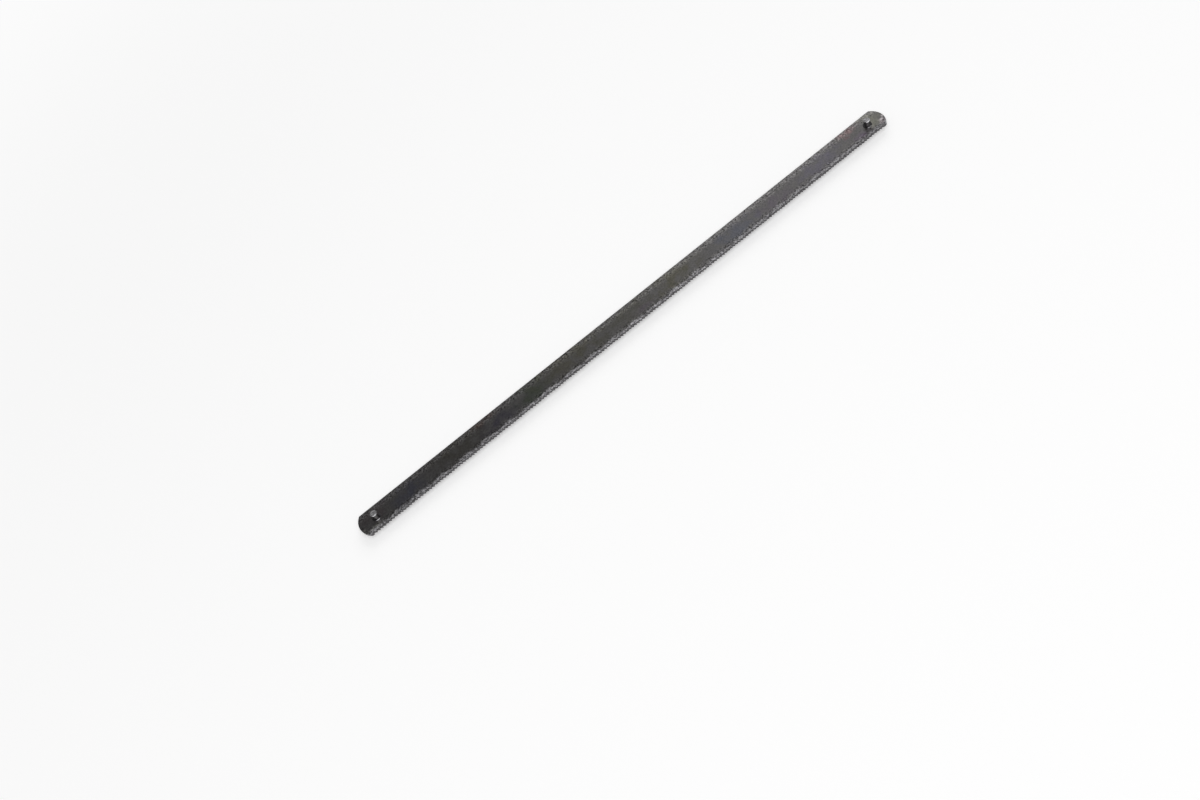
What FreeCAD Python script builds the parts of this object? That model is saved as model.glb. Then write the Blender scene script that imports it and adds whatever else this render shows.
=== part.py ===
import FreeCAD, Part
import math
import os

import Sketcher

# Pin-ended hacksaw blade, in millimetres, lying flat as it comes to rest on its two cross pins.
# X runs along the blade to the end that the teeth point at, Y points to the back edge, and Z is up.
# The origin is at mid-length and mid-width, on the plane of the pins' lower ends.

# Driving sizes.
SIZES = (
    # Strip, seen from above.
    ("blade_length", 154.0),
    ("blade_width", 6.3),
    ("end_bulge", 1.42),
    ("tooth_corner_radius", 0.55),
    # Strip, seen end on.
    ("strip_thickness", 0.65),
    ("back_edge_radius", 0.1),
    # Teeth, 32 to 25.4 mm.
    ("tooth_pitch", 0.79375),
    ("tooth_depth", 0.35),
    ("tooth_land", 0.05),
    ("gullet_floor", 0.12),
    # Wavy set: the toothed band bends up and down along the blade.
    ("set_band_width", 1.5),
    ("set_reach", 0.05),
    ("set_wave_length", 6.12),
    ("set_crest_place", 4.19),
    # Cross pins, each pressed through a hole near an end.
    ("pin_inset", 4.45),
    ("pin_diameter", 1.6),
    ("pin_length", 4.0),
    ("pin_chamfer", 0.15),
    # A pin's middle is upset to fill its hole, with a low bead over each face of the strip.
    ("pin_upset", 0.18),
    ("bead_overlap", 0.12),
    ("bead_height", 0.12),
)

# Places on an edge of a profile, and the profile's own origin.
START, END, CENTRE = range(1, 4)
AXIS_ORIGIN = (-1, START)
JOIN_GAP = 1e-6

doc = FreeCAD.newDocument("hacksaw_blade")
sheet = doc.addObject("Spreadsheet::Sheet", "sizes")
for row, (name, value) in enumerate(SIZES, start=1):
    sheet.set(f"A{row}", name)
    sheet.set(f"B{row}", str(value))
    sheet.setAlias(f"B{row}", name)
doc.recompute()


def size(name):
    """Reads one driving size."""
    return float(getattr(sheet, name))


def point(x, y):
    """Makes a point of a flat profile."""
    return FreeCAD.Vector(x, y, 0)


def line(start, end):
    """Makes a straight edge of a profile."""
    return Part.LineSegment(start, end)


def arc(centre, radius, start_angle, end_angle):
    """Makes an edge that turns anticlockwise about a centre."""
    circle = Part.Circle(centre, FreeCAD.Vector(0, 0, 1), radius)
    return Part.ArcOfCircle(circle, start_angle, end_angle)


def outline(corners):
    """Makes the straight edges that run round a list of corners."""
    return [line(a, b) for a, b in zip(corners, corners[1:] + corners[:1])]


def new_body(name):
    """Starts a piece whose label is its file's name."""
    body = doc.addObject("PartDesign::Body", name)
    body.Label = name
    return body


def origin_item(body, role):
    """Finds one of a piece's own origin planes or axes."""
    return next(item for item in body.Origin.OriginFeatures if item.Role == role)


def new_profile(body, name, role, depth=None):
    """Lays a profile on an origin plane, or at a depth along that plane's normal."""
    profile = body.newObject("Sketcher::SketchObject", name)
    profile.AttachmentSupport = (origin_item(body, role), [""])
    profile.MapMode = "FlatFace"
    if depth:
        profile.setExpression("AttachmentOffset.Base.z", depth)
    return profile


def add_chain(profile, edges, smooth_joins=()):
    """Adds edges that run round in order and joins each to the next, some of them tangent."""
    ids = [profile.addGeometry(edge, False) for edge in edges]
    for place, this_id in enumerate(ids):
        next_id = ids[(place + 1) % len(ids)]
        kind = "Tangent" if place in smooth_joins else "Coincident"
        for this_end, next_end in ((START, START), (START, END), (END, START), (END, END)):
            gap = profile.getPoint(this_id, this_end) - profile.getPoint(next_id, next_end)
            if gap.Length < JOIN_GAP:
                profile.addConstraint(
                    Sketcher.Constraint(kind, this_id, this_end, next_id, next_end)
                )
                break
    return ids


def fix(profile, kind, *places):
    """Adds a constraint that has no size."""
    profile.addConstraint(Sketcher.Constraint(kind, *places))


def drive(profile, name, kind, places, expression):
    """Adds a dimension that follows the driving sizes, starting from the profile's present one."""
    if kind == "Radius":
        present = profile.Geometry[places[0]].Radius
    else:
        gap = profile.getPoint(*places[2:]) - profile.getPoint(*places[:2])
        present = gap.x if kind == "DistanceX" else gap.y
    index = profile.addConstraint(Sketcher.Constraint(kind, *places, present))
    profile.renameConstraint(index, name)
    profile.setExpression(f"Constraints.{name}", expression)


def pocket_through(body, name, profile):
    """Cuts a profile right through the piece, both ways from its plane."""
    pocket = body.newObject("PartDesign::Pocket", name)
    pocket.Profile = profile
    pocket.Type = "ThroughAll"
    pocket.SideType = "Symmetric"
    body.Tip = pocket
    return pocket


def mirror_end_to_end(body, name, original):
    """Repeats a feature at the blade's other end."""
    mirrored = body.newObject("PartDesign::Mirrored", name)
    mirrored.Originals = [original]
    mirrored.MirrorPlane = (origin_item(body, "YZ_Plane"), [""])
    body.Tip = mirrored
    return mirrored


# The strip: a flat bar from the bend line of the set to the back edge, longer than the blade.
blade = new_body("blade")
blade.setExpression("Placement.Base.z", "sizes.pin_length / 2")

half_length = size("blade_length") / 2
half_width = size("blade_width") / 2
wave = size("set_wave_length")
bend_line = -half_width + size("set_band_width")

strip_outline = new_profile(blade, "strip_outline", "XY_Plane")
strip_corners = [
    point(-half_length - wave, bend_line),
    point(half_length + wave, bend_line),
    point(half_length + wave, half_width),
    point(-half_length - wave, half_width),
]
bottom, right, top, left = add_chain(strip_outline, outline(strip_corners))
fix(strip_outline, "Horizontal", bottom)
fix(strip_outline, "Horizontal", top)
fix(strip_outline, "Vertical", right)
fix(strip_outline, "Vertical", left)
overhang = "sizes.blade_length / 2 + sizes.set_wave_length"
drive(strip_outline, "rear", "DistanceX", (top, END, *AXIS_ORIGIN), overhang)
drive(strip_outline, "front", "DistanceX", (*AXIS_ORIGIN, top, START), overhang)
drive(strip_outline, "back", "DistanceY", (*AXIS_ORIGIN, top, START), "sizes.blade_width / 2")
drive(
    strip_outline,
    "bend_line",
    "DistanceY",
    (bottom, START, *AXIS_ORIGIN),
    "sizes.blade_width / 2 - sizes.set_band_width",
)

strip = blade.newObject("PartDesign::Pad", "strip")
strip.Profile = strip_outline
strip.SideType = "Symmetric"
strip.setExpression("Length", "sizes.strip_thickness")
doc.recompute()

# The rolled strip's back edges are slightly rounded.
back_edges = [
    f"Edge{number}"
    for number, edge in enumerate(strip.Shape.Edges, start=1)
    if all(abs(vertex.Y - half_width) < JOIN_GAP for vertex in edge.Vertexes)
    and edge.Length > size("blade_length")
]
back_round = blade.newObject("PartDesign::Fillet", "back_round")
back_round.Base = (strip, back_edges)
back_round.setExpression("Radius", "sizes.back_edge_radius")
blade.Tip = back_round

# The set: between the bend line and the tooth line the strip turns into a wave of tangent arcs.
half_wave = wave / 2
crest = size("set_crest_place")
first_arc = math.floor((-half_length - crest) / half_wave + 0.5)
last_arc = math.ceil((half_length - crest) / half_wave - 0.5)


def band_section(name, depth, reach):
    """Lays the toothed band's end-on outline, whose long sides wave up and down by the reach."""
    profile = new_profile(blade, name, "XZ_Plane", depth)
    half_thickness = size("strip_thickness") / 2
    upper, lower = [], []
    for number in range(first_arc, last_arc + 1):
        middle = crest + number * half_wave
        rise = reach if number % 2 == 0 else -reach
        for side, edges in ((half_thickness, upper), (-half_thickness, lower)):
            start = point(middle - half_wave / 2, side)
            end = point(middle + half_wave / 2, side)
            edges.append(
                Part.Arc(start, point(middle, side + rise), end) if reach else line(start, end)
            )
    front = crest + (last_arc + 0.5) * half_wave
    rear = crest + (first_arc - 0.5) * half_wave
    closing = [
        line(point(front, half_thickness), point(front, -half_thickness)),
        line(point(rear, -half_thickness), point(rear, half_thickness)),
    ]
    profile.addGeometry([*upper, closing[0], *reversed(lower), closing[1]], False)
    return profile


band_root = band_section("band_root", "sizes.blade_width / 2 - sizes.set_band_width", 0)
band_edge = band_section("band_edge", "sizes.blade_width / 2", size("set_reach"))
set_band = blade.newObject("PartDesign::AdditiveLoft", "set_band")
set_band.Profile = band_root
set_band.Sections = [band_edge]
set_band.Ruled = True
blade.Tip = set_band

# The ends: one long arc across the width, with a small round where it meets the tooth line.
bulge = size("end_bulge")
corner = size("tooth_corner_radius")
end_radius = (half_width**2 + bulge**2) / (2 * bulge)
end_centre = point(half_length - end_radius, 0)
corner_centre = point(
    end_centre.x + math.sqrt((end_radius - corner) ** 2 - (half_width - corner) ** 2),
    corner - half_width,
)
corner_angle = math.atan2(corner_centre.y, corner_centre.x - end_centre.x)
back_angle = math.asin(half_width / end_radius)
back_corner = point(half_length - bulge, half_width)
clear_x = half_length + 2 * wave
clear_y = 2 * half_width

end_waste = new_profile(blade, "end_waste", "XY_Plane")
end_arc, up, across, down, back, rise, corner_arc = add_chain(
    end_waste,
    [
        arc(end_centre, end_radius, corner_angle, back_angle),
        line(back_corner, point(back_corner.x, clear_y)),
        line(point(back_corner.x, clear_y), point(clear_x, clear_y)),
        line(point(clear_x, clear_y), point(clear_x, -clear_y)),
        line(point(clear_x, -clear_y), point(corner_centre.x, -clear_y)),
        line(point(corner_centre.x, -clear_y), point(corner_centre.x, -half_width)),
        arc(corner_centre, corner, -math.pi / 2, corner_angle),
    ],
    smooth_joins=(6,),
)
fix(end_waste, "Vertical", up)
fix(end_waste, "Horizontal", across)
fix(end_waste, "Vertical", down)
fix(end_waste, "Horizontal", back)
fix(end_waste, "Vertical", rise)
fix(end_waste, "Vertical", corner_arc, CENTRE, rise, END)
fix(end_waste, "PointOnObject", end_arc, CENTRE, -1)
radius_of_end = "(sizes.blade_width ^ 2 / 4 + sizes.end_bulge ^ 2) / (2 * sizes.end_bulge)"
drive(end_waste, "end_radius", "Radius", (end_arc,), radius_of_end)
drive(end_waste, "corner_radius", "Radius", (corner_arc,), "sizes.tooth_corner_radius")
drive(
    end_waste,
    "end_place",
    "DistanceX",
    (*AXIS_ORIGIN, end_arc, CENTRE),
    f"sizes.blade_length / 2 - {radius_of_end}",
)
drive(end_waste, "back", "DistanceY", (*AXIS_ORIGIN, up, START), "sizes.blade_width / 2")
drive(end_waste, "tooth_line", "DistanceY", (rise, END, *AXIS_ORIGIN), "sizes.blade_width / 2")
drive(
    end_waste,
    "clear_x",
    "DistanceX",
    (*AXIS_ORIGIN, down, START),
    "sizes.blade_length / 2 + 2 * sizes.set_wave_length",
)
drive(end_waste, "clear_back", "DistanceY", (*AXIS_ORIGIN, down, START), "sizes.blade_width")
drive(end_waste, "clear_teeth", "DistanceY", (down, END, *AXIS_ORIGIN), "sizes.blade_width")
front_end = pocket_through(blade, "front_end", end_waste)
mirror_end_to_end(blade, "rear_end", front_end)

# The punched holes, which the pins' upset middles fill.
pin_place = "sizes.blade_length / 2 - sizes.pin_inset"
pin_x = half_length - size("pin_inset")
shank_radius = size("pin_diameter") / 2
hole_radius = shank_radius + size("pin_upset")

hole_outline = new_profile(blade, "hole_outline", "XY_Plane")
hole_circle = hole_outline.addGeometry(
    Part.Circle(point(pin_x, 0), FreeCAD.Vector(0, 0, 1), hole_radius), False
)
fix(hole_outline, "PointOnObject", hole_circle, CENTRE, -1)
drive(hole_outline, "place", "DistanceX", (*AXIS_ORIGIN, hole_circle, CENTRE), pin_place)
drive(
    hole_outline,
    "radius",
    "Radius",
    (hole_circle,),
    "sizes.pin_diameter / 2 + sizes.pin_upset",
)
front_hole = pocket_through(blade, "front_hole", hole_outline)
mirror_end_to_end(blade, "rear_hole", front_hole)

# The teeth: upright front faces and sloping backs, left between gullets with narrow flat floors.
pitch = size("tooth_pitch")
floor_y = size("tooth_depth") - half_width
open_y = -half_width - size("tooth_depth")
gullet_count = math.floor(2 * corner_centre.x / pitch)
face_x = -gullet_count * pitch / 2
next_tip_x = face_x + pitch - size("tooth_land")

gullet_outline = new_profile(blade, "gullet_outline", "XY_Plane")
gullet_corners = [
    point(face_x, open_y),
    point(face_x, floor_y),
    point(face_x + size("gullet_floor"), floor_y),
    point(next_tip_x, -half_width),
    point(next_tip_x, open_y),
]
face, floor, slope, drop, mouth = add_chain(gullet_outline, outline(gullet_corners))
fix(gullet_outline, "Vertical", face)
fix(gullet_outline, "Horizontal", floor)
fix(gullet_outline, "Vertical", drop)
fix(gullet_outline, "Horizontal", mouth)
drive(
    gullet_outline,
    "first_face",
    "DistanceX",
    (face, START, *AXIS_ORIGIN),
    f"{gullet_count} * sizes.tooth_pitch / 2",
)
drive(
    gullet_outline,
    "floor_line",
    "DistanceY",
    (floor, START, *AXIS_ORIGIN),
    "sizes.blade_width / 2 - sizes.tooth_depth",
)
drive(gullet_outline, "floor", "DistanceX", (floor, START, floor, END), "sizes.gullet_floor")
drive(
    gullet_outline,
    "span",
    "DistanceX",
    (face, START, drop, END),
    "sizes.tooth_pitch - sizes.tooth_land",
)
drive(gullet_outline, "tip_line", "DistanceY", (slope, END, *AXIS_ORIGIN), "sizes.blade_width / 2")
drive(
    gullet_outline,
    "opening",
    "DistanceY",
    (face, START, *AXIS_ORIGIN),
    "sizes.blade_width / 2 + sizes.tooth_depth",
)
first_gullet = pocket_through(blade, "first_gullet", gullet_outline)
gullets = blade.newObject("PartDesign::LinearPattern", "gullets")
gullets.Originals = [first_gullet]
gullets.Direction = (origin_item(blade, "X_Axis"), [""])
gullets.Mode = "Spacing"
gullets.setExpression("Offset", "sizes.tooth_pitch")
gullets.Occurrences = gullet_count
blade.Tip = gullets

# The cross pins: a round shank with chamfered ends, upset where it fills the strip.
pin_length = size("pin_length")
chamfer = size("pin_chamfer")
bead_radius = hole_radius + size("bead_overlap")
lower_face = (pin_length - size("strip_thickness")) / 2
upper_face = (pin_length + size("strip_thickness")) / 2
PIN_CORNERS = [
    point(0, 0),
    point(shank_radius - chamfer, 0),
    point(shank_radius, chamfer),
    point(shank_radius, lower_face - size("bead_height")),
    point(bead_radius, lower_face),
    point(hole_radius, lower_face),
    point(hole_radius, upper_face),
    point(bead_radius, upper_face),
    point(shank_radius, upper_face + size("bead_height")),
    point(shank_radius, pin_length - chamfer),
    point(shank_radius - chamfer, pin_length),
    point(0, pin_length),
]
LOWER_FACE = "(sizes.pin_length - sizes.strip_thickness) / 2"
UPPER_FACE = "(sizes.pin_length + sizes.strip_thickness) / 2"
SHANK = "sizes.pin_diameter / 2"
HOLE = "sizes.pin_diameter / 2 + sizes.pin_upset"
BEAD = "sizes.pin_diameter / 2 + sizes.pin_upset + sizes.bead_overlap"
# How far each numbered corner stands from the pin's axis, and above its lower end.
PIN_RADII = {
    1: f"{SHANK} - sizes.pin_chamfer",
    2: SHANK,
    4: BEAD,
    5: HOLE,
    7: BEAD,
    8: SHANK,
    10: f"{SHANK} - sizes.pin_chamfer",
}
PIN_HEIGHTS = {
    2: "sizes.pin_chamfer",
    3: f"{LOWER_FACE} - sizes.bead_height",
    4: LOWER_FACE,
    6: UPPER_FACE,
    8: f"{UPPER_FACE} + sizes.bead_height",
    9: "sizes.pin_length - sizes.pin_chamfer",
    10: "sizes.pin_length",
}


def add_pin(name, side):
    """Turns one pin, which stands at one end of the blade."""
    body = new_body(name)
    body.setExpression("Placement.Base.x", f"{side} * ({pin_place})")
    profile = new_profile(body, f"{name}_profile", "XZ_Plane")
    edges = add_chain(profile, outline(PIN_CORNERS))
    fix(profile, "Coincident", edges[0], START, *AXIS_ORIGIN)
    for level in (0, 4, 6, 10):
        fix(profile, "Horizontal", edges[level])
    for upright in (2, 5, 8, 11):
        fix(profile, "Vertical", edges[upright])
    for kind, label, sizes in (
        ("DistanceX", "radius", PIN_RADII),
        ("DistanceY", "height", PIN_HEIGHTS),
    ):
        for number, expression in sizes.items():
            corner_place = (*AXIS_ORIGIN, edges[number], START)
            drive(profile, f"{label}_{number}", kind, corner_place, expression)
    turned = body.newObject("PartDesign::Revolution", f"{name}_turned")
    turned.Profile = profile
    turned.ReferenceAxis = (profile, ["V_Axis"])
    turned.Angle = 360
    body.Tip = turned
    return body


pieces = [blade, add_pin("front_pin", 1), add_pin("rear_pin", -1)]
doc.recompute()

for item in doc.Objects:
    if "Invalid" in item.State or "Error" in item.State:
        raise RuntimeError(f"{item.Label} did not build: {item.State}")
for piece in pieces:
    if piece.Shape.isNull() or not piece.Shape.isValid() or len(piece.Shape.Solids) != 1:
        raise RuntimeError(f"{piece.Label} is not one sound solid")

os.makedirs("parts", exist_ok=True)
for piece in pieces:
    piece.Shape.exportStep(f"parts/{piece.Label}.step")
    print(f"{piece.Label}: {piece.Shape.Volume:.2f} mm3, {len(piece.Shape.Faces)} faces")
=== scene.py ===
"""Pin-ended hacksaw blade: blued, wavy-set and rubbed grey along its teeth, on a pale studio floor."""

import logging
import math
from dataclasses import dataclass
from enum import Enum

import bmesh
import bpy
from mathutils import Matrix, Quaternion, Vector, noise


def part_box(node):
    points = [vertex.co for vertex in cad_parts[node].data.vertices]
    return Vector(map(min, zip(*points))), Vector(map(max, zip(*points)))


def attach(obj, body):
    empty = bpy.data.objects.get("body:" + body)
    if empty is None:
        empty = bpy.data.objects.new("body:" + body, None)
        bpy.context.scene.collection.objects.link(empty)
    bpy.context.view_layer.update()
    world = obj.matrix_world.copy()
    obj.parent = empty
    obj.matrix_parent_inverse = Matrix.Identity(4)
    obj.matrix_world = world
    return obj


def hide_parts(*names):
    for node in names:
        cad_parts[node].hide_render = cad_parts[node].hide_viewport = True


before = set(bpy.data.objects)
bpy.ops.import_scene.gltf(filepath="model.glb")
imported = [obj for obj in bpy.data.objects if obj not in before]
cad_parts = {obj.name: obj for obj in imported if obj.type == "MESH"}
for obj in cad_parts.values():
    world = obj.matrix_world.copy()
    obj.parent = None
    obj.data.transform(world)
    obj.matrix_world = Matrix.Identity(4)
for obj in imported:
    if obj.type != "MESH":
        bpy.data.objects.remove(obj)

LOG = logging.getLogger("hacksaw_blade")
MM = 0.001
GAMMA = 2.4
GAMMA_SPLIT = 0.04045
GAMMA_TOE = 12.92
GAMMA_LIFT = 0.055

MATH = "ShaderNodeMath"
VECTOR_MATH = "ShaderNodeVectorMath"
MIX = "ShaderNodeMix"
RANGE = "ShaderNodeMapRange"
NOISE = "ShaderNodeTexNoise"
SMOOTH = "SMOOTHSTEP"

Feed = bpy.types.Node | bpy.types.NodeSocket | float | tuple[float, ...]


def srgb(code: str) -> tuple[float, float, float, float]:
    """Turns an sRGB hex colour to the linear colour that shaders take.

    Args:
        code: The colour as "#RRGGBB".

    Returns:
        Linear red, green and blue, with an alpha of 1.
    """
    channels = [int(code[place:place + 2], 16) / 255 for place in (1, 3, 5)]
    linear = [
        value / GAMMA_TOE
        if value <= GAMMA_SPLIT
        else ((value + GAMMA_LIFT) / (1 + GAMMA_LIFT)) ** GAMMA
        for value in channels
    ]
    return (*linear, 1.0)


def add_node(
    tree: bpy.types.NodeTree, kind: str, *feeds: Feed, named: dict[str, Feed] | None = None, **settings: str
) -> bpy.types.Node:
    """Adds one node with its settings and links.

    Args:
        tree: The node tree that the node joins.
        kind: Blender's name for the node's type.
        feeds: What the inputs in use take, in their order: a value to set, a socket to link, or a
            node whose first result is linked.
        named: What further inputs take, by their names.
        settings: The node's own properties.

    Returns:
        The new node.
    """
    node = tree.nodes.new(kind)
    for name, value in settings.items():
        setattr(node, name, value)
    in_order = zip([socket for socket in node.inputs if socket.enabled], feeds)
    by_name = ((node.inputs[name], feed) for name, feed in (named or {}).items())
    for socket, feed in (*in_order, *by_name):
        if isinstance(feed, bpy.types.Node):
            feed = next(result for result in feed.outputs if result.enabled)
        if isinstance(feed, bpy.types.NodeSocket):
            tree.links.new(feed, socket)
        else:
            socket.default_value = feed
    return node


def new_material(name: str) -> tuple[bpy.types.Material, bpy.types.NodeTree]:
    """Makes an empty node material.

    Args:
        name: What the material is called.

    Returns:
        The material and its node tree, with no nodes in it.
    """
    material = bpy.data.materials.new(name)
    material.use_nodes = True
    material.node_tree.nodes.clear()
    return material, material.node_tree


def new_object(name: str, data: bpy.types.ID) -> bpy.types.Object:
    """Makes an object and links it to the scene.

    Args:
        name: The object's name.
        data: Its mesh, lamp or camera.

    Returns:
        The new object.
    """
    made = bpy.data.objects.new(name, data)
    bpy.context.scene.collection.objects.link(made)
    return made


def solid_piece(name: str, points: list[Vector], faces: list[tuple[int, ...]]) -> bpy.types.Object:
    """Makes a closed piece from points in millimetres, with its faces turned outwards.

    Args:
        name: The piece's name.
        points: Its corners in millimetres.
        faces: Its faces, as numbers of corners.

    Returns:
        The new object, linked to the scene.
    """
    shell = bmesh.new()
    corners = [shell.verts.new(point * MM) for point in points]
    for face in faces:
        shell.faces.new([corners[number] for number in face])
    bmesh.ops.recalc_face_normals(shell, faces=shell.faces)
    mesh = bpy.data.meshes.new(name)
    shell.to_mesh(mesh)
    shell.free()
    return new_object(name, mesh)


def shade(mesh: bpy.types.Mesh, crease: float) -> None:
    """Shades a mesh smooth, apart from edges that turn by more than a crease angle in degrees."""
    mesh.polygons.foreach_set("use_smooth", [True] * len(mesh.polygons))
    mesh.set_sharp_from_angle(angle=math.radians(crease))


def coat(piece: bpy.types.Object, material: bpy.types.Material) -> None:
    """Gives a piece its one finish."""
    piece.data.materials.clear()
    piece.data.materials.append(material)


def loft(sections: list[list[Vector]]) -> tuple[list[Vector], list[tuple[int, ...]]]:
    """Joins closed sections of equal length into a capped shell.

    Args:
        sections: The sections in order, each a ring of points.

    Returns:
        The shell's points and faces.
    """
    count = len(sections[0])
    points = [point for section in sections for point in section]
    faces = []
    for start in range(0, (len(sections) - 1) * count, count):
        for here in range(count):
            after = (here + 1) % count
            faces.append((start + here, start + after, start + count + after, start + count + here))
    faces.append(tuple(range(count)))
    faces.append(tuple(range(len(points) - count, len(points))))
    return points, faces


def noise_share(point: Vector) -> float:
    """Reads smooth noise at a point, as a share from 0 to 1."""
    return 0.5 + 0.5 * noise.noise(point)


class Side(Enum):
    """The strip's two broad sides, by the sign of their height."""

    UPPER = 1
    LOWER = -1


@dataclass(frozen=True)
class PinForm:
    """One cross pin in millimetres: a cut wire shank, upset in its hole with a low bead each side."""

    name: str
    along: float
    length: float
    radius: float = 0.8
    rim: float = 0.15
    dish: float = 0.05
    dish_reach: float = 0.8
    dish_rings: tuple[float, ...] = (0.8, 0.6, 0.4, 0.2)
    hole_radius: float = 0.98
    bead_radius: float = 1.1
    bead_height: float = 0.12
    strip_thickness: float = 0.65
    turns: int = 72
    curve_steps: int = 5
    shear: float = 0.03
    shear_grain: float = 0.25
    shear_rise: float = 3.0
    crease: float = 40.0

    @classmethod
    def from_frame(cls, name: str) -> "PinForm":
        """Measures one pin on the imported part."""
        low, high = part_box(name)
        return cls(name=name, along=(low.x + high.x) / 2 / MM, length=high.z / MM)

    def half_profile(self) -> list[tuple[float, float]]:
        """Draws the pin's side from mid-height up to its axis.

        Returns:
            Each point's radius and its height above the pin's middle.
        """
        face = self.strip_thickness / 2
        top = self.length / 2
        steps = [math.pi / 2 * step / self.curve_steps for step in range(self.curve_steps + 1)]
        bead = [
            (self.radius + (self.bead_radius - self.radius) * math.cos(turn),
             face + self.bead_height * math.sin(turn))
            for turn in steps
        ]
        rim = [
            (self.radius - self.rim * (1 - math.cos(turn)), top - self.rim * (1 - math.sin(turn)))
            for turn in steps
        ]
        flat = self.radius - self.rim
        end = [
            (flat * share, top - self.dish * (1 - (share / self.dish_reach) ** 2))
            for share in self.dish_rings
        ]
        return [(self.hole_radius, 0.0), (self.hole_radius, face), *bead, *rim, *end]

    def build(self) -> bpy.types.Object:
        """Turns the pin about its axis.

        Returns:
            The pin's mesh object.
        """
        upper = self.half_profile()
        profile = [(radius, -height) for radius, height in reversed(upper[1:])] + upper
        rings = []
        for radius, height in profile:
            ring = []
            for turn in range(self.turns):
                angle = 2 * math.pi * turn / self.turns
                x, y = radius * math.cos(angle), radius * math.sin(angle)
                ring.append(Vector((self.along + x, y, self.length / 2 + height + self.torn(x, y, height))))
            rings.append(ring)
        piece = solid_piece(f"{self.name}_turned", *loft(rings))
        shade(piece.data, self.crease)
        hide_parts(self.name)
        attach(piece, "root")
        return piece

    def dress(self, piece: bpy.types.Object) -> None:
        """Gives the pin its cut-wire finish."""
        coat(piece, PinSteel(self).build())

    def torn(self, x: float, y: float, height: float) -> float:
        """Finds how far the sheared end is torn in at a point.

        Args:
            x: The point's distance from the pin's axis along the blade.
            y: Its distance from the axis across the blade.
            height: Its height above the pin's middle.

        Returns:
            The shift along the pin in millimetres.
        """
        flat = self.radius - self.rim
        depth = max(0.0, 1.0 - math.hypot(x, y) / flat) if abs(height) > self.length / 2 - self.rim else 0.0
        rough = noise_share(Vector((x, y, self.along + height)) / self.shear_grain)
        return -math.copysign(self.shear * min(1.0, self.shear_rise * depth) * rough, height)


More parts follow.
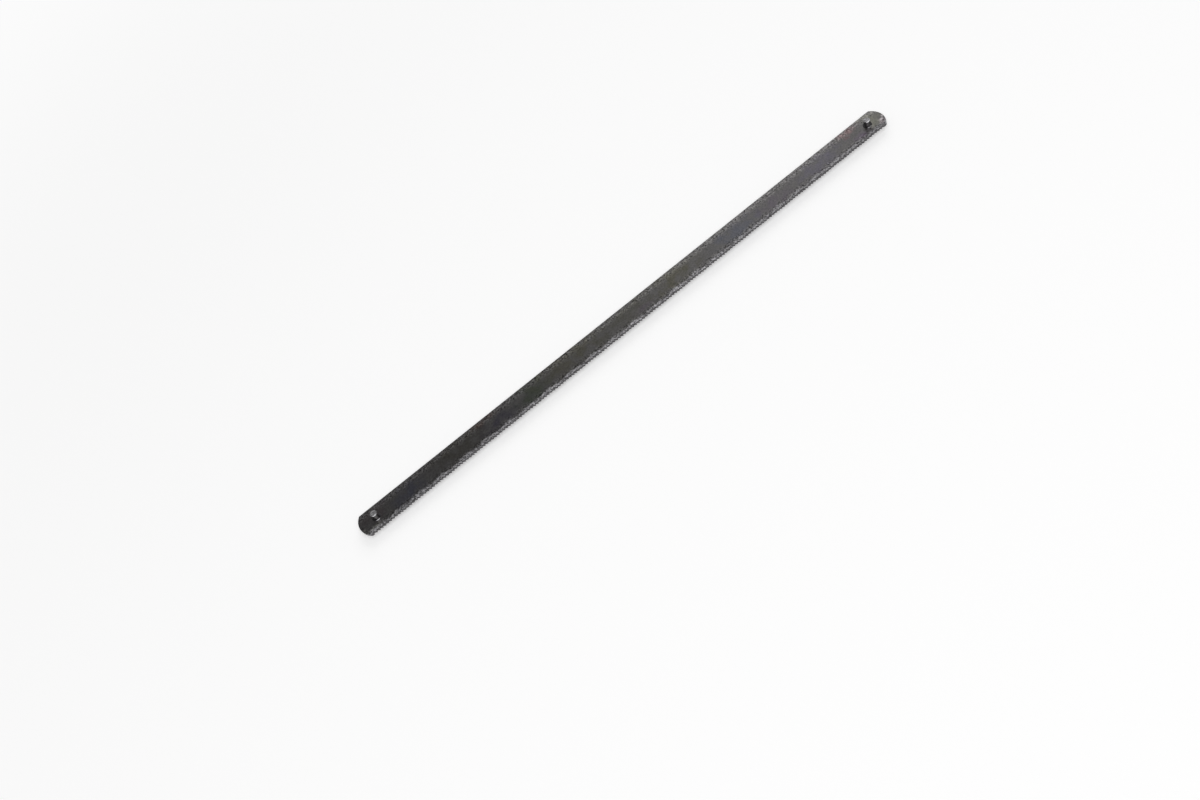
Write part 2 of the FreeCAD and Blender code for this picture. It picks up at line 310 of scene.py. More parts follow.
@dataclass(frozen=True)
class StripForm:
    """The toothed strip in millimetres and degrees, with the part's own sizes."""

    half_length: float
    half_width: float
    middle_height: float
    pin_place: float
    thickness: float = 0.65
    end_bulge: float = 1.42
    corner_radius: float = 0.55
    tooth_pitch: float = 0.79375
    tooth_depth: float = 0.35
    tooth_land: float = 0.05
    gullet_floor: float = 0.12
    face_lean: float = 0.004
    set_band: float = 1.5
    set_reach: float = 0.05
    set_wave: float = 6.12
    set_crest: float = 4.19
    back_round: float = 0.1
    back_turns: tuple[float, ...] = (30.0, 60.0, 90.0)
    round_parts: int = 4
    edge_break: float = 0.03
    break_parts: int = 5
    hole_radius: float = 0.98
    hole_turns: int = 72
    punch_depths: float = 4.0
    end_steps: int = 26
    slope_steps: int = 2
    row_shares: tuple[float, ...] = (
        0.0, 0.02, 0.05, 0.08, 0.12, 0.17, 0.23, 0.3, 0.38, 0.47, 0.57, 0.68, 0.8, 0.9, 1.0,
    )
    tooth_wear: float = 0.025
    wear_step: float = 0.73
    ripple: float = 0.005
    ripple_length: float = 3.0
    ripple_width: float = 1.2
    ripple_apart: float = 5.0
    crease: float = 32.0

    @classmethod
    def from_frame(cls) -> "StripForm":
        """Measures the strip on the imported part.

        Returns:
            The strip's form.
        """
        low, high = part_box("blade")
        pin_low, pin_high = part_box("front_pin")
        return cls(
            half_length=high.x / MM,
            half_width=high.y / MM,
            middle_height=(low.z + high.z) / 2 / MM,
            pin_place=(pin_low.x + pin_high.x) / 2 / MM,
        )

    @property
    def end_radius(self) -> float:
        """The radius of the arc across each end."""
        return (self.half_width ** 2 + self.end_bulge ** 2) / (2 * self.end_bulge)

    @property
    def end_centre(self) -> float:
        """How far along the blade the end arc's centre stands."""
        return self.half_length - self.end_radius

    @property
    def corner_centre(self) -> float:
        """How far along the blade the centre of the toothed corner's round stands."""
        reach = (self.end_radius - self.corner_radius) ** 2 - (self.half_width - self.corner_radius) ** 2
        return self.end_centre + math.sqrt(reach)

    def end_line(self, x: float) -> float:
        """Finds how far an end's arc stands from mid-width at a place along the blade."""
        return math.sqrt(max(0.0, self.end_radius ** 2 - (abs(x) - self.end_centre) ** 2))

    def back_line(self, x: float) -> float:
        """Finds the back edge's place across the blade at a place along it."""
        straight = abs(x) <= self.half_length - self.end_bulge
        return self.half_width if straight else self.end_line(x)

    def tooth_line(self, x: float) -> float:
        """Finds the tooth tips' line, with the rounds of its corners.

        Args:
            x: The place along the blade.

        Returns:
            The line's place across the blade.
        """
        past = abs(x) - self.corner_centre
        if past <= 0:
            return -self.half_width
        lean = math.atan2(self.half_width - self.corner_radius, self.corner_centre - self.end_centre)
        if past <= self.corner_radius * math.cos(lean):
            return -(self.half_width - self.corner_radius) - math.sqrt(self.corner_radius ** 2 - past ** 2)
        return -self.end_line(x)

    def tip_wear(self, mark: float) -> float:
        """Finds how far a tooth's tip is worn back, by its place in the wear's noise."""
        return self.tooth_wear * noise_share(Vector((mark, 0.0, 0.0)))

    def gullet(self, face: float, mark: float) -> list[tuple[float, float]]:
        """Lists the corners of one gullet, from a rake face to the next tooth's land.

        Args:
            face: The rake face's place along the blade.
            mark: The tooth's place in the wear's noise.

        Returns:
            Each corner's place along the blade, with the depth cut there.
        """
        slope_start = face + self.gullet_floor
        slope_end = face + self.tooth_pitch - self.tooth_land
        next_wear = self.tip_wear(mark + self.wear_step)
        corners = [
            (face - self.face_lean, self.tip_wear(mark)),
            (face + self.face_lean, self.tooth_depth),
            (slope_start, self.tooth_depth),
        ]
        for step in range(1, self.slope_steps + 2):
            share = step / (self.slope_steps + 1)
            corners.append((
                slope_start + share * (slope_end - slope_start),
                self.tooth_depth + share * (next_wear - self.tooth_depth),
            ))
        return corners

    def columns(self) -> list[tuple[float, float]]:
        """Lists the places along the blade where its outline turns.

        Returns:
            Each place, with the depth cut there.
        """
        count = math.floor(2 * self.corner_centre / self.tooth_pitch)
        first = -count * self.tooth_pitch / 2
        teeth = []
        for number in range(count):
            teeth += self.gullet(first + number * self.tooth_pitch, number * self.wear_step)
        teeth.append((first + count * self.tooth_pitch, 0.0))
        start = self.corner_centre + self.face_lean
        ends = []
        for step in range(self.end_steps):
            share = 1 - (1 - step / self.end_steps) ** 2
            ends.append(start + share * (self.half_length - start))
        return [(-x, 0.0) for x in reversed(ends)] + teeth + [(x, 0.0) for x in ends]

    def bend(self, x: float, y: float) -> float:
        """Finds how far the wavy set lifts a point."""
        share = max(0.0, (self.set_band - self.half_width - y) / self.set_band)
        return self.set_reach * share * math.cos(2 * math.pi * (x - self.set_crest) / self.set_wave)

    def hollow(self, x: float, y: float, side: Side) -> float:
        """Finds how far the rolled face lies below flat at a point."""
        place = Vector((x / self.ripple_length, y / self.ripple_width, side.value * self.ripple_apart))
        return self.ripple * noise_share(place)

    def section(self, x: float, cut: float) -> list[Vector]:
        """Draws the strip's outline across one place.

        Args:
            x: The place along the blade.
            cut: How deep the teeth are cut there.

        Returns:
            A ring of points round the section.
        """
        tooth = self.tooth_line(x) + cut
        back = self.back_line(x)
        span = back - tooth
        half = self.thickness / 2
        broken = min(self.edge_break, span / self.break_parts)
        rounded = min(self.back_round, span / self.round_parts)
        rows = [tooth + broken + share * (span - broken - rounded) for share in self.row_shares]
        turns = [math.radians(turn) for turn in self.back_turns]
        upper = [(y, half - self.hollow(x, y, Side.UPPER)) for y in rows]
        back_curve = [
            (back - rounded * (1 - math.sin(turn)), half - rounded * (1 - math.cos(turn))) for turn in turns
        ]
        lower_curve = [(y, -z) for y, z in reversed(back_curve)]
        lower = [(y, -half + self.hollow(x, y, Side.LOWER)) for y in reversed(rows)]
        wall = [(tooth, -half + broken), (tooth, half - broken)]
        return [
            Vector((x, y, self.middle_height + z + self.bend(x, y)))
            for y, z in (*upper, *back_curve, *lower_curve, *lower, *wall)
        ]

    def build(self) -> bpy.types.Object:
        """Lofts the strip along its length and punches its two pin holes.

        Returns:
            The strip's mesh object.
        """
        strip = solid_piece("toothed_strip", *loft([self.section(x, cut) for x, cut in self.columns()]))
        for side in (-1, 1):
            self.punch(strip, side * self.pin_place)
        shade(strip.data, self.crease)
        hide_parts("blade")
        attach(strip, "root")
        return strip

    def dress(self, strip: bpy.types.Object) -> None:
        """Gives the strip its blued and rubbed finish."""
        coat(strip, BluedSteel(self).build())

    def punch(self, strip: bpy.types.Object, along: float) -> None:
        """Cuts one round pin hole through the strip.

        Args:
            strip: The strip's object.
            along: The hole's place along the blade.
        """
        tool = bmesh.new()
        bmesh.ops.create_cone(
            tool, cap_ends=True, segments=self.hole_turns, radius1=self.hole_radius * MM,
            radius2=self.hole_radius * MM, depth=self.punch_depths * self.thickness * MM,
            matrix=Matrix.Translation(Vector((along, 0.0, self.middle_height)) * MM),
        )
        mesh = bpy.data.meshes.new("punch")
        tool.to_mesh(mesh)
        tool.free()
        punch = new_object("punch", mesh)
        cut = strip.modifiers.new("pin_hole", "BOOLEAN")
        cut.operation = "DIFFERENCE"
        cut.object = punch
        cut.solver = "EXACT"
        bpy.context.view_layer.update()
        graph = bpy.context.evaluated_depsgraph_get()
        holed = bpy.data.meshes.new_from_object(strip.evaluated_get(graph))
        strip.modifiers.clear()
        strip.data = holed
        bpy.data.objects.remove(punch)


@dataclass(frozen=True)
class HeatTint:
    """A faint patch of temper colour or a small nick on the oxide, placed in millimetres."""

    along: float
    across: float
    length: float
    width: float
    colour: str
    strength: float


@dataclass(frozen=True)
class Speckle:
    """A fractal noise pattern, by the size of its largest grains in millimetres."""

    size: float
    detail: float = 4.0
    roughness: float = 0.6

    @property
    def feeds(self) -> tuple[float, float, float]:
        """What a noise node takes after a point in millimetres: its scale, detail and roughness."""
        return 1 / self.size, self.detail, self.roughness


def place_in_mm(tree: bpy.types.NodeTree) -> bpy.types.Node:
    """Adds the shaded point's place on the part, in millimetres."""
    point = add_node(tree, "ShaderNodeTexCoord").outputs["Object"]
    return add_node(tree, VECTOR_MATH, point, 1 / MM, operation="SCALE")


def wave_along(tree: bpy.types.NodeTree, along: Feed, length: float, crest: float) -> bpy.types.Node:
    """Adds a wave along the blade, from 1 at its crests to -1 at its troughs.

    Args:
        tree: The material's node tree.
        along: The point's place along the blade in millimetres.
        length: The wave's length in millimetres.
        crest: The place of one crest.

    Returns:
        The wave's value.
    """
    turn = 2 * math.pi / length
    angle = add_node(tree, MATH, along, turn, -turn * crest, operation="MULTIPLY_ADD")
    return add_node(tree, MATH, angle, operation="COSINE")


@dataclass(frozen=True)
class BluedSteel:
    """Hardened carbon-steel strip, tempered to a blue-black oxide and rubbed along its teeth.

    The oxide is a thin dark film on metal, so the eye sees a near-black satin sheen that follows
    the lamps, broken by faint brown, olive and violet temper colours. It is thinner and speckled
    along the back. Milling and handling have rubbed a ragged band along the teeth to dull grey.
    """

    form: StripForm
    oxide: tuple[str, str] = ("#575556", "#666564")
    oxide_roughness: float = 0.36
    # Where the oxide starts to thin towards the back and is thinnest, in millimetres across the
    # blade, and how much lighter it gets.
    back_start: float = 0.9
    back_full: float = 2.3
    back_gain: float = 0.4
    # How strongly it is speckled on the face, and how much more towards the back and by the teeth.
    face_speckle: float = 1.3
    back_speckle: float = 4.8
    band_speckle: float = 4.0
    band_start: float = -1.1
    band_full: float = -1.8
    speckle_middle: float = 0.5
    grain_floor: float = 0.15
    # The rubbed band's greys, and how much darker it is towards the ends and lighter in the middle.
    rubbed: tuple[str, str] = ("#6F6E70", "#E6E5E8")
    rubbed_span: tuple[float, float] = (0.4, 0.6)
    rubbed_gain: tuple[float, float] = (0.8, 1.13)
    rubbed_roughness: float = 0.88
    # Its width from the teeth in millimetres, and how far its edge fades, swings with the set as a painted
    # highlight where the set slopes down to face the key lamp, strays, is nibbled and draws in about
    # mid-length.
    rubbed_width: float = 0.88
    rubbed_fade: float = 0.2
    painted_sheen_swing: float = 0.17
    rubbed_wander: float = 1.2
    rubbed_ragged: float = 1.8
    rubbed_waist: float = 0.07
    waist_place: float = 8.0
    waist_length: float = 160.0
    # The least share that is rubbed bare in the band's patches of left oxide.
    patch_span: tuple[float, float] = (0.36, 0.6)
    patch_least: float = 0.4
    # The clean-cut walls of the teeth.
    wall: str = "#727072"
    wall_steep: tuple[float, float] = (0.3, 0.7)
    wall_fade: float = 0.2
    # Clouds of temper colour run a few millimetres across, and the grains of scale up to 0.45 mm.
    cloud: Speckle = Speckle(2.2, 3.0, 0.5)
    pits: Speckle = Speckle(0.45, 4.0, 0.7)
    # The rubbed band's edge strays over about 3 mm, and is nibbled at about the size of a tooth.
    wander: Speckle = Speckle(3.0, 2.0, 0.5)
    nibble: Speckle = Speckle(0.7, 4.0, 0.7)
    # Rolling lines are some 0.02 mm apart in life. They are drawn 0.2 mm apart, so that they show.
    lines: Speckle = Speckle(0.2, 3.0)
    line_stretch: tuple[float, float, float] = (0.08, 1.0, 1.0)
    relief_strength: float = 0.4
    relief_height: float = 0.02
    tint_ragged: float = 2.8
    tint_span: tuple[float, float] = (1.1, 2.6)
    tints: tuple[HeatTint, ...] = (
        HeatTint(-72.0, 0.6, 4.0, 2.2, "#5E5456", 0.5),
        HeatTint(-64.0, -0.4, 6.0, 2.8, "#535565", 0.55),
        HeatTint(-49.0, 0.8, 9.0, 3.4, "#4E4C44", 0.65),
        HeatTint(-41.0, 2.4, 4.5, 1.2, "#56453E", 0.6),
        HeatTint(-38.0, -0.6, 5.5, 2.4, "#434050", 0.6),
        HeatTint(-28.0, 0.0, 6.0, 3.4, "#454F43", 0.7),
        HeatTint(-18.0, 0.8, 12.0, 3.6, "#5B594D", 0.75),
        HeatTint(-1.0, 0.6, 14.0, 3.6, "#575650", 0.7),
        HeatTint(3.5, -1.1, 3.0, 1.2, "#605763", 0.5),
        HeatTint(14.0, 0.8, 8.0, 3.6, "#5B594D", 0.7),
        HeatTint(9.0, 2.4, 14.0, 1.0, "#565550", 0.45),
        HeatTint(32.0, -0.4, 8.0, 2.6, "#5A5D69", 0.55),
        HeatTint(43.0, -0.6, 6.0, 2.6, "#625B65", 0.55),
        HeatTint(57.5, -0.2, 8.0, 2.8, "#65626F", 0.6),
        HeatTint(67.5, 2.0, 3.0, 1.5, "#805E5E", 0.55),
        HeatTint(70.0, -1.5, 2.6, 1.3, "#66576E", 0.55),
        HeatTint(74.5, 0.4, 3.6, 3.4, "#7C7C71", 0.65),
        HeatTint(76.1, -1.7, 0.9, 1.4, "#9A9296", 0.7),
        HeatTint(-74.5, -2.2, 3.2, 1.1, "#92928A", 0.8),
        HeatTint(75.2, -2.2, 0.8, 0.5, "#B9AEB4", 0.8),
        HeatTint(75.9, -1.2, 0.7, 0.4, "#C9C2C6", 0.8),
        HeatTint(76.6, -0.5, 0.4, 0.4, "#C9C2C6", 0.8),
        HeatTint(75.9, -1.8, 0.5, 0.35, "#3A3638", 0.8),
        HeatTint(76.5, -1.3, 0.35, 0.35, "#3A3638", 0.8),
        HeatTint(-76.3, -1.0, 0.5, 0.4, "#8E8C88", 0.7),
        HeatTint(-76.5, -0.3, 0.35, 0.4, "#2E2C2D", 0.7),
    )

    def build(self) -> bpy.types.Material:
        """Makes the material.

        Returns:
            The finished material.
        """
        material, tree = new_material("blued_spring_steel")
        place = place_in_mm(tree)
        axes = add_node(tree, "ShaderNodeSeparateXYZ", place).outputs
        pits = add_node(tree, NOISE, place, *self.pits.feeds)
        oxide = self.worn_oxide(tree, self.temper_colours(tree, place), axes["Y"], pits)
        waist = wave_along(tree, axes["X"], self.waist_length, self.waist_place)
        rubbed = self.rubbed_share(tree, place, axes, waist)
        bare = self.bare_grey(tree, pits, waist)
        wall = self.wall_share(tree, axes["Y"])
        face = add_node(tree, MIX, rubbed, oxide, bare, data_type="RGBA")
        colour = add_node(tree, MIX, wall, face, srgb(self.wall), data_type="RGBA")
        roughness = add_node(tree, MIX, rubbed, self.oxide_roughness, self.rubbed_roughness)
        normal = self.relief(tree, place, pits)
        shader = add_node(
            tree, "ShaderNodeBsdfPrincipled",
            named={"Base Color": colour, "Metallic": 1.0, "Roughness": roughness, "Normal": normal},
        )
        add_node(tree, "ShaderNodeOutputMaterial", shader)
        return material

    def temper_colours(self, tree: bpy.types.NodeTree, place: Feed) -> bpy.types.Node:
        """Lays the heat tints over the plain oxide.

        Args:
            tree: The material's node tree.
            place: The point on the blade in millimetres.

        Returns:
            The oxide's colour.
        """
        cloud = add_node(tree, NOISE, place, *self.cloud.feeds)
        colour = add_node(tree, MIX, cloud, *(srgb(code) for code in self.oxide), data_type="RGBA")
        for tint in self.tints:
            middle = (-tint.along, -tint.across, 0.0)
            offset = add_node(tree, VECTOR_MATH, place, middle, operation="ADD")
            shrink = (1 / tint.length, 1 / tint.width, 0.0)
            scaled = add_node(tree, VECTOR_MATH, offset, shrink, operation="MULTIPLY")
            away = add_node(tree, VECTOR_MATH, scaled, operation="LENGTH")
            ragged = add_node(tree, MATH, cloud, self.tint_ragged, away, operation="MULTIPLY_ADD")
            reach = (*self.tint_span, tint.strength, 0.0)
            share = add_node(tree, RANGE, ragged, *reach, interpolation_type=SMOOTH)
            colour = add_node(tree, MIX, share, colour, srgb(tint.colour), data_type="RGBA")
        return colour

    def worn_oxide(self, tree: bpy.types.NodeTree, colour: Feed, across: Feed, pits: Feed) -> bpy.types.Node:
        """Lightens the oxide towards the back, where it is thinner, and speckles it there and by the teeth.

        Args:
            tree: The material's node tree.
            colour: The oxide's colour.
            across: The point's place across the blade in millimetres.
            pits: The fine speckle.

        Returns:
            The worn colour.
        """
        spans = ((self.back_start, self.back_full, 0.0, 1.0), (self.band_full, self.band_start, 1.0, 0.0))
        back, band = (add_node(tree, RANGE, across, *span, interpolation_type=SMOOTH) for span in spans)
        thin = add_node(tree, MATH, back, self.back_gain, 1.0, operation="MULTIPLY_ADD")
        contrast = self.face_speckle
        for share, speckle in ((back, self.back_speckle), (band, self.band_speckle)):
            contrast = add_node(tree, MATH, share, speckle, contrast, operation="MULTIPLY_ADD")
        speck = add_node(tree, MATH, pits, self.speckle_middle, operation="SUBTRACT")
        grain = add_node(tree, MATH, speck, contrast, 1.0, operation="MULTIPLY_ADD")
        grain = add_node(tree, MATH, grain, self.grain_floor, operation="MAXIMUM")
        gain = add_node(tree, MATH, thin, grain, operation="MULTIPLY")
        return add_node(tree, VECTOR_MATH, colour, gain, operation="SCALE")

    def bare_grey(self, tree: bpy.types.NodeTree, pits: Feed, waist: Feed) -> bpy.types.Node:
        """Mixes the rubbed band's grey, which is lighter about mid-length.

        Args:
            tree: The material's node tree.
            pits: The fine speckle.
            waist: A slow wave that is 1 about mid-length and -1 towards the ends.

        Returns:
            The bare metal's colour.
        """
        share = add_node(tree, RANGE, pits, *self.rubbed_span, 0.0, 1.0, interpolation_type=SMOOTH)
        grey = add_node(tree, MIX, share, *(srgb(code) for code in self.rubbed), data_type="RGBA")
        low, high = self.rubbed_gain
        gain = add_node(tree, MATH, waist, (high - low) / 2, (high + low) / 2, operation="MULTIPLY_ADD")
        return add_node(tree, VECTOR_MATH, grey, gain, operation="SCALE")

    def rubbed_share(
        self, tree: bpy.types.NodeTree, place: Feed, axes: bpy.types.NodeOutputs, waist: Feed
    ) -> bpy.types.Node:
        """Finds how far each point of the toothed band is rubbed back to grey.

        The band is drawn widest where the set's wave slopes down to face the key lamp, a painted highlight of
        the set, and wider towards both ends of the blade than in its middle.

        Args:
            tree: The material's node tree.
            place: The point on the blade in millimetres.
            axes: The point's separate coordinates.
            waist: A slow wave that is 1 about mid-length and -1 towards the ends.

        Returns:
            The rubbed share, from 0 to 1.
        """
        wander = add_node(tree, NOISE, place, *self.wander.feeds)
        nibble = add_node(tree, NOISE, place, *self.nibble.feeds)
        # Painted highlight: the band's edge swings out where the set's wave slopes down to face the key lamp.
        painted_sheen_crest = self.form.set_crest + self.form.set_wave / 4
        painted_sheen_wave = wave_along(tree, axes["X"], self.form.set_wave, painted_sheen_crest)
        edge = axes["Y"]
        for pattern, reach in (
            (painted_sheen_wave, -self.painted_sheen_swing),
            (waist, self.rubbed_waist),
            (wander, self.rubbed_wander),
            (nibble, self.rubbed_ragged),
        ):
            edge = add_node(tree, MATH, pattern, reach, edge, operation="MULTIPLY_ADD")
        line = self.rubbed_width + (self.rubbed_wander + self.rubbed_ragged) / 2 - self.form.half_width
        fade = (line - self.rubbed_fade, line + self.rubbed_fade, 1.0, 0.0)
        share = add_node(tree, RANGE, edge, *fade, interpolation_type=SMOOTH)
        rise = (*self.patch_span, self.patch_least, 1.0)
        patch = add_node(tree, RANGE, nibble, *rise, interpolation_type=SMOOTH)
        return add_node(tree, MATH, share, patch, operation="MULTIPLY")

    def wall_share(self, tree: bpy.types.NodeTree, across: Feed) -> bpy.types.Node:
        """Finds the upright walls of the teeth, which are cut clean through the oxide.

        Args:
            tree: The material's node tree.
            across: The point's place across the blade in millimetres.

        Returns:
            The share of clean-cut wall, from 0 to 1.
        """
        normal = add_node(tree, "ShaderNodeNewGeometry").outputs["True Normal"]
        upright = add_node(tree, "ShaderNodeSeparateXYZ", normal).outputs["Z"]
        level = add_node(tree, MATH, upright, operation="ABSOLUTE")
        steep = add_node(tree, RANGE, level, *self.wall_steep, 1.0, 0.0, interpolation_type=SMOOTH)
        gullets = self.form.tooth_depth - self.form.half_width
        fade = (gullets, gullets + self.wall_fade, 1.0, 0.0)
        toothed = add_node(tree, RANGE, across, *fade, interpolation_type=SMOOTH)
        return add_node(tree, MATH, steep, toothed, operation="MULTIPLY")

    def relief(self, tree: bpy.types.NodeTree, place: Feed, pits: Feed) -> bpy.types.Node:
        """Gives the surface its rolling lines and its pits.

        Args:
            tree: The material's node tree.
            place: The point on the blade in millimetres.
            pits: The fine speckle.

        Returns:
            The bumped normal.
        """
        stretched = add_node(tree, VECTOR_MATH, place, self.line_stretch, operation="MULTIPLY")
        lines = add_node(tree, NOISE, stretched, *self.lines.feeds)
        height = add_node(tree, MATH, lines, pits, operation="ADD")
        named = {"Height": height, "Strength": self.relief_strength, "Distance": self.relief_height * MM}
        return add_node(tree, "ShaderNodeBump", named=named)


@dataclass(frozen=True)
class PinSteel:
    """Drawn carbon-steel wire, cut to length, with a dark bead of oxide where it was upset.

    The eye sees a bright smooth shank that mirrors the dark strip, with one streak of light from the
    rubbed band. The bead is dark, with a painted highlight on the side of the teeth. The sheared end
    is a dull grey, with a painted highlight on that side.
    """

    form: PinForm
    shank: tuple[str, str] = ("#929193", "#B4B3B5")
    bead: str = "#3F3E40"
    bead_fade: float = 0.04
    # A painted highlight on the bead's side towards the teeth, and where across the blade it fades in.
    painted_glint: str = "#A3A2A4"
    painted_glint_span: tuple[float, float] = (-1.0, -0.8)
    end: tuple[str, str] = ("#7C7B7D", "#BDBCBE")
    end_span: tuple[float, float] = (0.35, 0.65)
    end_fade: float = 0.6
    # A painted highlight on the sheared end's side towards the teeth, and where across the pin it fades in.
    painted_rim_highlight: str = "#E6E6E8"
    painted_rim_span: tuple[float, float] = (-0.75, -0.35)
    shank_roughness: float = 0.24
    end_roughness: float = 0.5
    # The torn grain of a sheared end is about 0.3 mm across.
    grain: Speckle = Speckle(0.3, 4.0, 0.6)
    relief_strength: float = 0.3
    relief_height: float = 0.03

    def build(self) -> bpy.types.Material:
        """Makes the material.

        Returns:
            The finished material.
        """
        material, tree = new_material("cut_steel_wire")
        place = place_in_mm(tree)
        grain = add_node(tree, NOISE, place, *self.grain.feeds)
        axes = add_node(tree, "ShaderNodeSeparateXYZ", place).outputs
        above = add_node(tree, MATH, axes["Z"], self.form.length / 2, operation="SUBTRACT")
        level = add_node(tree, MATH, above, operation="ABSOLUTE")
        edge = self.form.length / 2 - self.form.rim
        fade = (edge, edge + self.end_fade * self.form.rim, 0.0, 1.0)
        end = add_node(tree, RANGE, level, *fade, interpolation_type=SMOOTH)
        sides = self.side_colour(tree, grain, level, axes["Y"])
        ends = self.end_colour(tree, grain, axes["Y"])
        colour = add_node(tree, MIX, end, sides, ends, data_type="RGBA")
        roughness = add_node(tree, MIX, end, self.shank_roughness, self.end_roughness)
        relief = {"Height": grain, "Strength": self.relief_strength, "Distance": self.relief_height * MM}
        normal = add_node(tree, "ShaderNodeBump", named=relief)
        shader = add_node(
            tree, "ShaderNodeBsdfPrincipled",
            named={"Base Color": colour, "Metallic": 1.0, "Roughness": roughness, "Normal": normal},
        )
        add_node(tree, "ShaderNodeOutputMaterial", shader)
        return material

    def side_colour(self, tree: bpy.types.NodeTree, grain: Feed, level: Feed, across: Feed) -> bpy.types.Node:
        """Mixes the shank's colour and, next to the strip, the bead's, with a painted highlight on the bead's
        side towards the teeth.

        Args:
            tree: The material's node tree.
            grain: The wire's grain.
            level: The point's distance from the pin's middle along it, in millimetres.
            across: Its place across the blade.

        Returns:
            The colour of the pin's sides.
        """
        shank = add_node(tree, MIX, grain, *(srgb(code) for code in self.shank), data_type="RGBA")
        top = self.form.strip_thickness / 2 + self.form.bead_height
        low = add_node(tree, RANGE, level, top, top + self.bead_fade, 1.0, 0.0, interpolation_type=SMOOTH)
        # Painted highlight: the bead is lightened on its side towards the teeth.
        painted_glint_share = add_node(tree, RANGE, across, *self.painted_glint_span, 1.0, 0.0, interpolation_type=SMOOTH)
        bead = add_node(tree, MIX, painted_glint_share, srgb(self.bead), srgb(self.painted_glint), data_type="RGBA")
        return add_node(tree, MIX, low, shank, bead, data_type="RGBA")

    def end_colour(self, tree: bpy.types.NodeTree, grain: Feed, across: Feed) -> bpy.types.Node:
        """Mixes the sheared end's colour with a painted highlight on its side towards the teeth.

        Args:
            tree: The material's node tree.
            grain: The wire's grain.
            across: The point's place across the blade in millimetres.

        Returns:
            The colour of the pin's ends.
        """
        share = add_node(tree, RANGE, grain, *self.end_span, 0.0, 1.0, interpolation_type=SMOOTH)
        bare = add_node(tree, MIX, share, *(srgb(code) for code in self.end), data_type="RGBA")
        # Painted highlight: the end is lightened on its side towards the teeth.
        side = add_node(tree, RANGE, across, *self.painted_rim_span, 1.0, 0.0, interpolation_type=SMOOTH)
        return add_node(tree, MIX, side, bare, srgb(self.painted_rim_highlight), data_type="RGBA")


@dataclass(frozen=True)
class Softbox:
    """A rectangular soft lamp, placed in millimetres and aimed at the blade."""

    name: str
    place: tuple[float, float, float]
    width: float
    height: float
    radiance: float

    def build(self) -> None:
        """Adds the lamp, whose watts are pi times its radiance and its area."""
        data = bpy.data.lights.new(self.name, "AREA")
        data.shape = "RECTANGLE"
        data.size = self.width * MM
        data.size_y = self.height * MM
        data.energy = self.radiance * math.pi * data.size * data.size_y
        lamp = new_object(self.name, data)
        lamp.location = Vector(self.place) * MM
        lamp.rotation_euler = (-lamp.location).to_track_quat("-Z", "Y").to_euler()


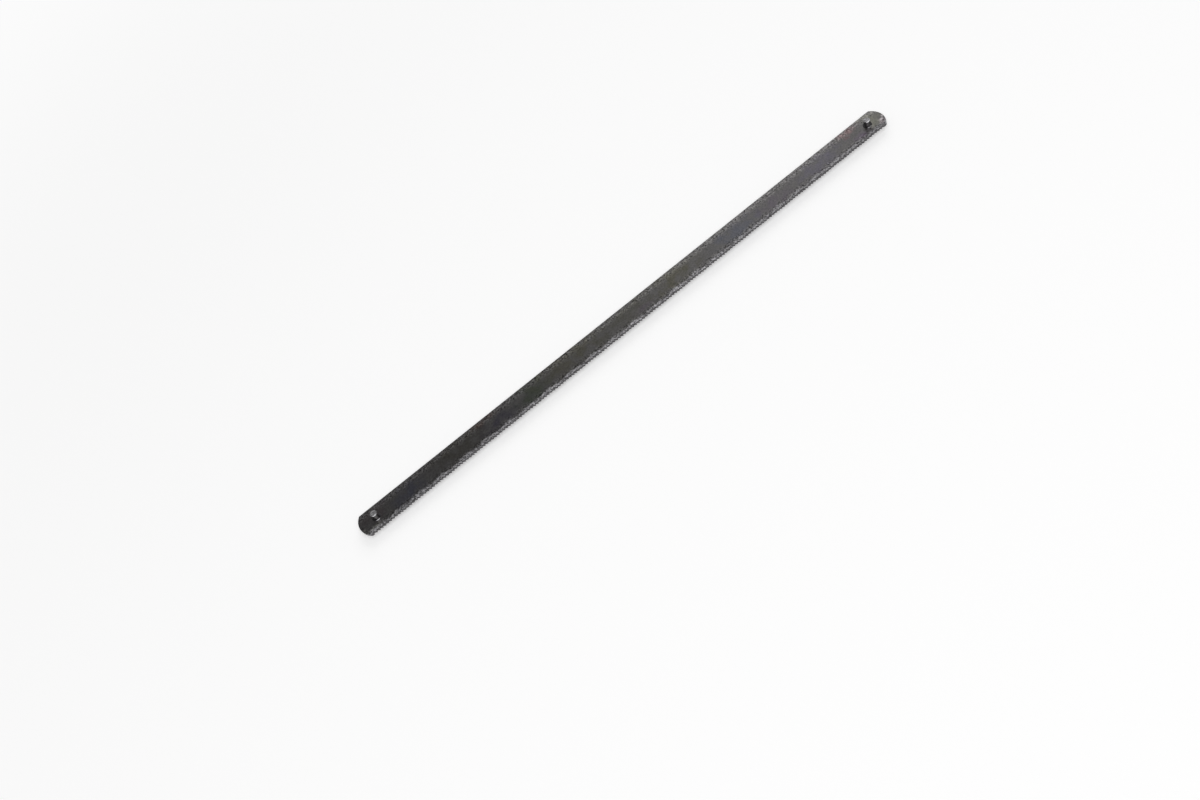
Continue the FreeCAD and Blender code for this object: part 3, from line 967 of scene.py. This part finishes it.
@dataclass(frozen=True)
class Studio:
    """A plain white floor that fades into a white backdrop, under a soft sky and two softboxes."""

    floor_half: float = 3000.0
    floor_colour: str = "#F4F4F4"
    floor_lift: float = 0.36
    fade: tuple[float, float] = (110.0, 330.0)
    backdrop: float = 0.97
    backdrop_rise: tuple[float, float] = (6.0, 20.0)
    sky: str = "#FFFFFF"
    sky_strength: float = 0.25
    softboxes: tuple[Softbox, ...] = (
        Softbox("key_softbox", (430.0, 470.0, 560.0), 600.0, 620.0, 1.0),
        Softbox("overhead_softbox", (-100.0, -500.0, 900.0), 900.0, 700.0, 2.4),
    )

    def build(self) -> None:
        """Builds the floor, the sky and the lamps."""
        self.build_floor()
        self.build_sky()
        for softbox in self.softboxes:
            softbox.build()

    def build_floor(self) -> None:
        """Lays the floor on the plane that the pins rest on."""
        half = self.floor_half * MM
        corners = [(-half, -half, 0.0), (half, -half, 0.0), (half, half, 0.0), (-half, half, 0.0)]
        mesh = bpy.data.meshes.new("studio_floor")
        mesh.from_pydata(corners, [], [(0, 1, 2, 3)])
        floor = new_object("studio_floor", mesh)
        coat(floor, self.paper())

    def paper(self) -> bpy.types.Material:
        """Makes the floor's matt white paper.

        The eye sees an even white with no sheen and the blade's soft shadow, which glows a little so
        that it matches the backdrop, and turns into it further out.

        Returns:
            The finished material.
        """
        material, tree = new_material("matt_white_paper")
        seen = self.seen(tree)
        lift = add_node(tree, MATH, seen, self.floor_lift, operation="MULTIPLY")
        glow = add_node(tree, "ShaderNodeEmission", srgb(self.sky), lift)
        matt = add_node(tree, "ShaderNodeBsdfDiffuse", srgb(self.floor_colour))
        near = add_node(tree, "ShaderNodeAddShader", matt, glow)
        away = add_node(tree, VECTOR_MATH, place_in_mm(tree), operation="LENGTH")
        out = add_node(tree, RANGE, away, *self.fade, 0.0, 1.0, interpolation_type=SMOOTH)
        far = add_node(tree, MATH, out, seen, operation="MULTIPLY")
        sweep = add_node(tree, "ShaderNodeEmission", srgb(self.sky), self.backdrop)
        both = add_node(tree, "ShaderNodeMixShader", far, near, sweep)
        add_node(tree, "ShaderNodeOutputMaterial", both)
        return material

    def build_sky(self) -> None:
        """Surrounds the scene with an even pale light, above a white backdrop that rises from the floor."""
        world = bpy.data.worlds.new("soft_sky")
        world.use_nodes = True
        tree = world.node_tree
        tree.nodes.clear()
        heading = add_node(tree, "ShaderNodeTexCoord").outputs["Generated"]
        rise = add_node(tree, "ShaderNodeSeparateXYZ", heading).outputs["Z"]
        span = (math.sin(math.radians(turn)) for turn in self.backdrop_rise)
        low = add_node(tree, RANGE, rise, *span, 1.0, 0.0, interpolation_type=SMOOTH)
        shown = add_node(tree, MATH, low, self.seen(tree), operation="MULTIPLY")
        lift = self.backdrop - self.sky_strength
        strength = add_node(tree, MATH, shown, lift, self.sky_strength, operation="MULTIPLY_ADD")
        sky = add_node(tree, "ShaderNodeBackground", srgb(self.sky), strength)
        add_node(tree, "ShaderNodeOutputWorld", sky)
        bpy.context.scene.world = world

    def seen(self, tree: bpy.types.NodeTree) -> bpy.types.Node:
        """Tells rays that show a surface, straight or in metal or glass, from rays that light one.

        Args:
            tree: The node tree to add to.

        Returns:
            1 for rays that show a surface, and 0 for the rest.
        """
        rays = add_node(tree, "ShaderNodeLightPath").outputs
        mirrored = add_node(
            tree, MATH, rays["Is Glossy Ray"], rays["Is Transmission Ray"], operation="MAXIMUM"
        )
        return add_node(tree, MATH, rays["Is Camera Ray"], mirrored, operation="MAXIMUM")


@dataclass(frozen=True)
class Viewpoint:
    """The camera, in millimetres and degrees, rolled so that the blade runs up to the right."""

    place: tuple[float, float, float] = (-53.5, -175.2, 221.1)
    aim: tuple[float, float, float] = (-18.3, -11.83, 0.0)
    roll: float = -29.13
    lens: float = 37.53
    sensor: float = 36.0
    near_clip: float = 10.0

    def build(self) -> None:
        """Adds the camera and makes it the scene's own."""
        data = bpy.data.cameras.new("viewpoint")
        data.lens = self.lens
        data.sensor_width = self.sensor
        data.sensor_fit = "HORIZONTAL"
        data.clip_start = self.near_clip * MM
        camera = new_object("viewpoint", data)
        camera.location = Vector(self.place) * MM
        sight = Vector(self.aim) - Vector(self.place)
        turn = Quaternion((0.0, 0.0, 1.0), math.radians(self.roll))
        camera.rotation_mode = "QUATERNION"
        camera.rotation_quaternion = sight.to_track_quat("-Z", "Y") @ turn
        bpy.context.scene.camera = camera


@dataclass(frozen=True)
class HacksawBlade:
    """The whole part: the toothed strip and its two cross pins."""

    strip: StripForm
    pins: tuple[PinForm, ...]

    @classmethod
    def from_frame(cls) -> "HacksawBlade":
        """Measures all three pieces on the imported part."""
        pins = tuple(PinForm.from_frame(name) for name in ("front_pin", "rear_pin"))
        return cls(strip=StripForm.from_frame(), pins=pins)

    def build(self) -> list[bpy.types.Object]:
        """Builds and dresses the strip and both pins.

        Returns:
            The three pieces.
        """
        pieces = []
        for form in (self.strip, *self.pins):
            piece = form.build()
            form.dress(piece)
            pieces.append(piece)
        return pieces


def main() -> None:
    """Builds the studio and the blade, reports its pieces, and keeps the sizes of both models."""
    logging.basicConfig(level=logging.INFO, format="%(message)s")
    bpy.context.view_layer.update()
    bpy.context.scene.view_settings.view_transform = "Standard"
    Studio().build()
    Viewpoint().build()
    for piece in HacksawBlade.from_frame().build():
        LOG.info("%s: %d faces, %s", piece.name, len(piece.data.polygons), piece.active_material.name)


if __name__ == "__main__":
    main()
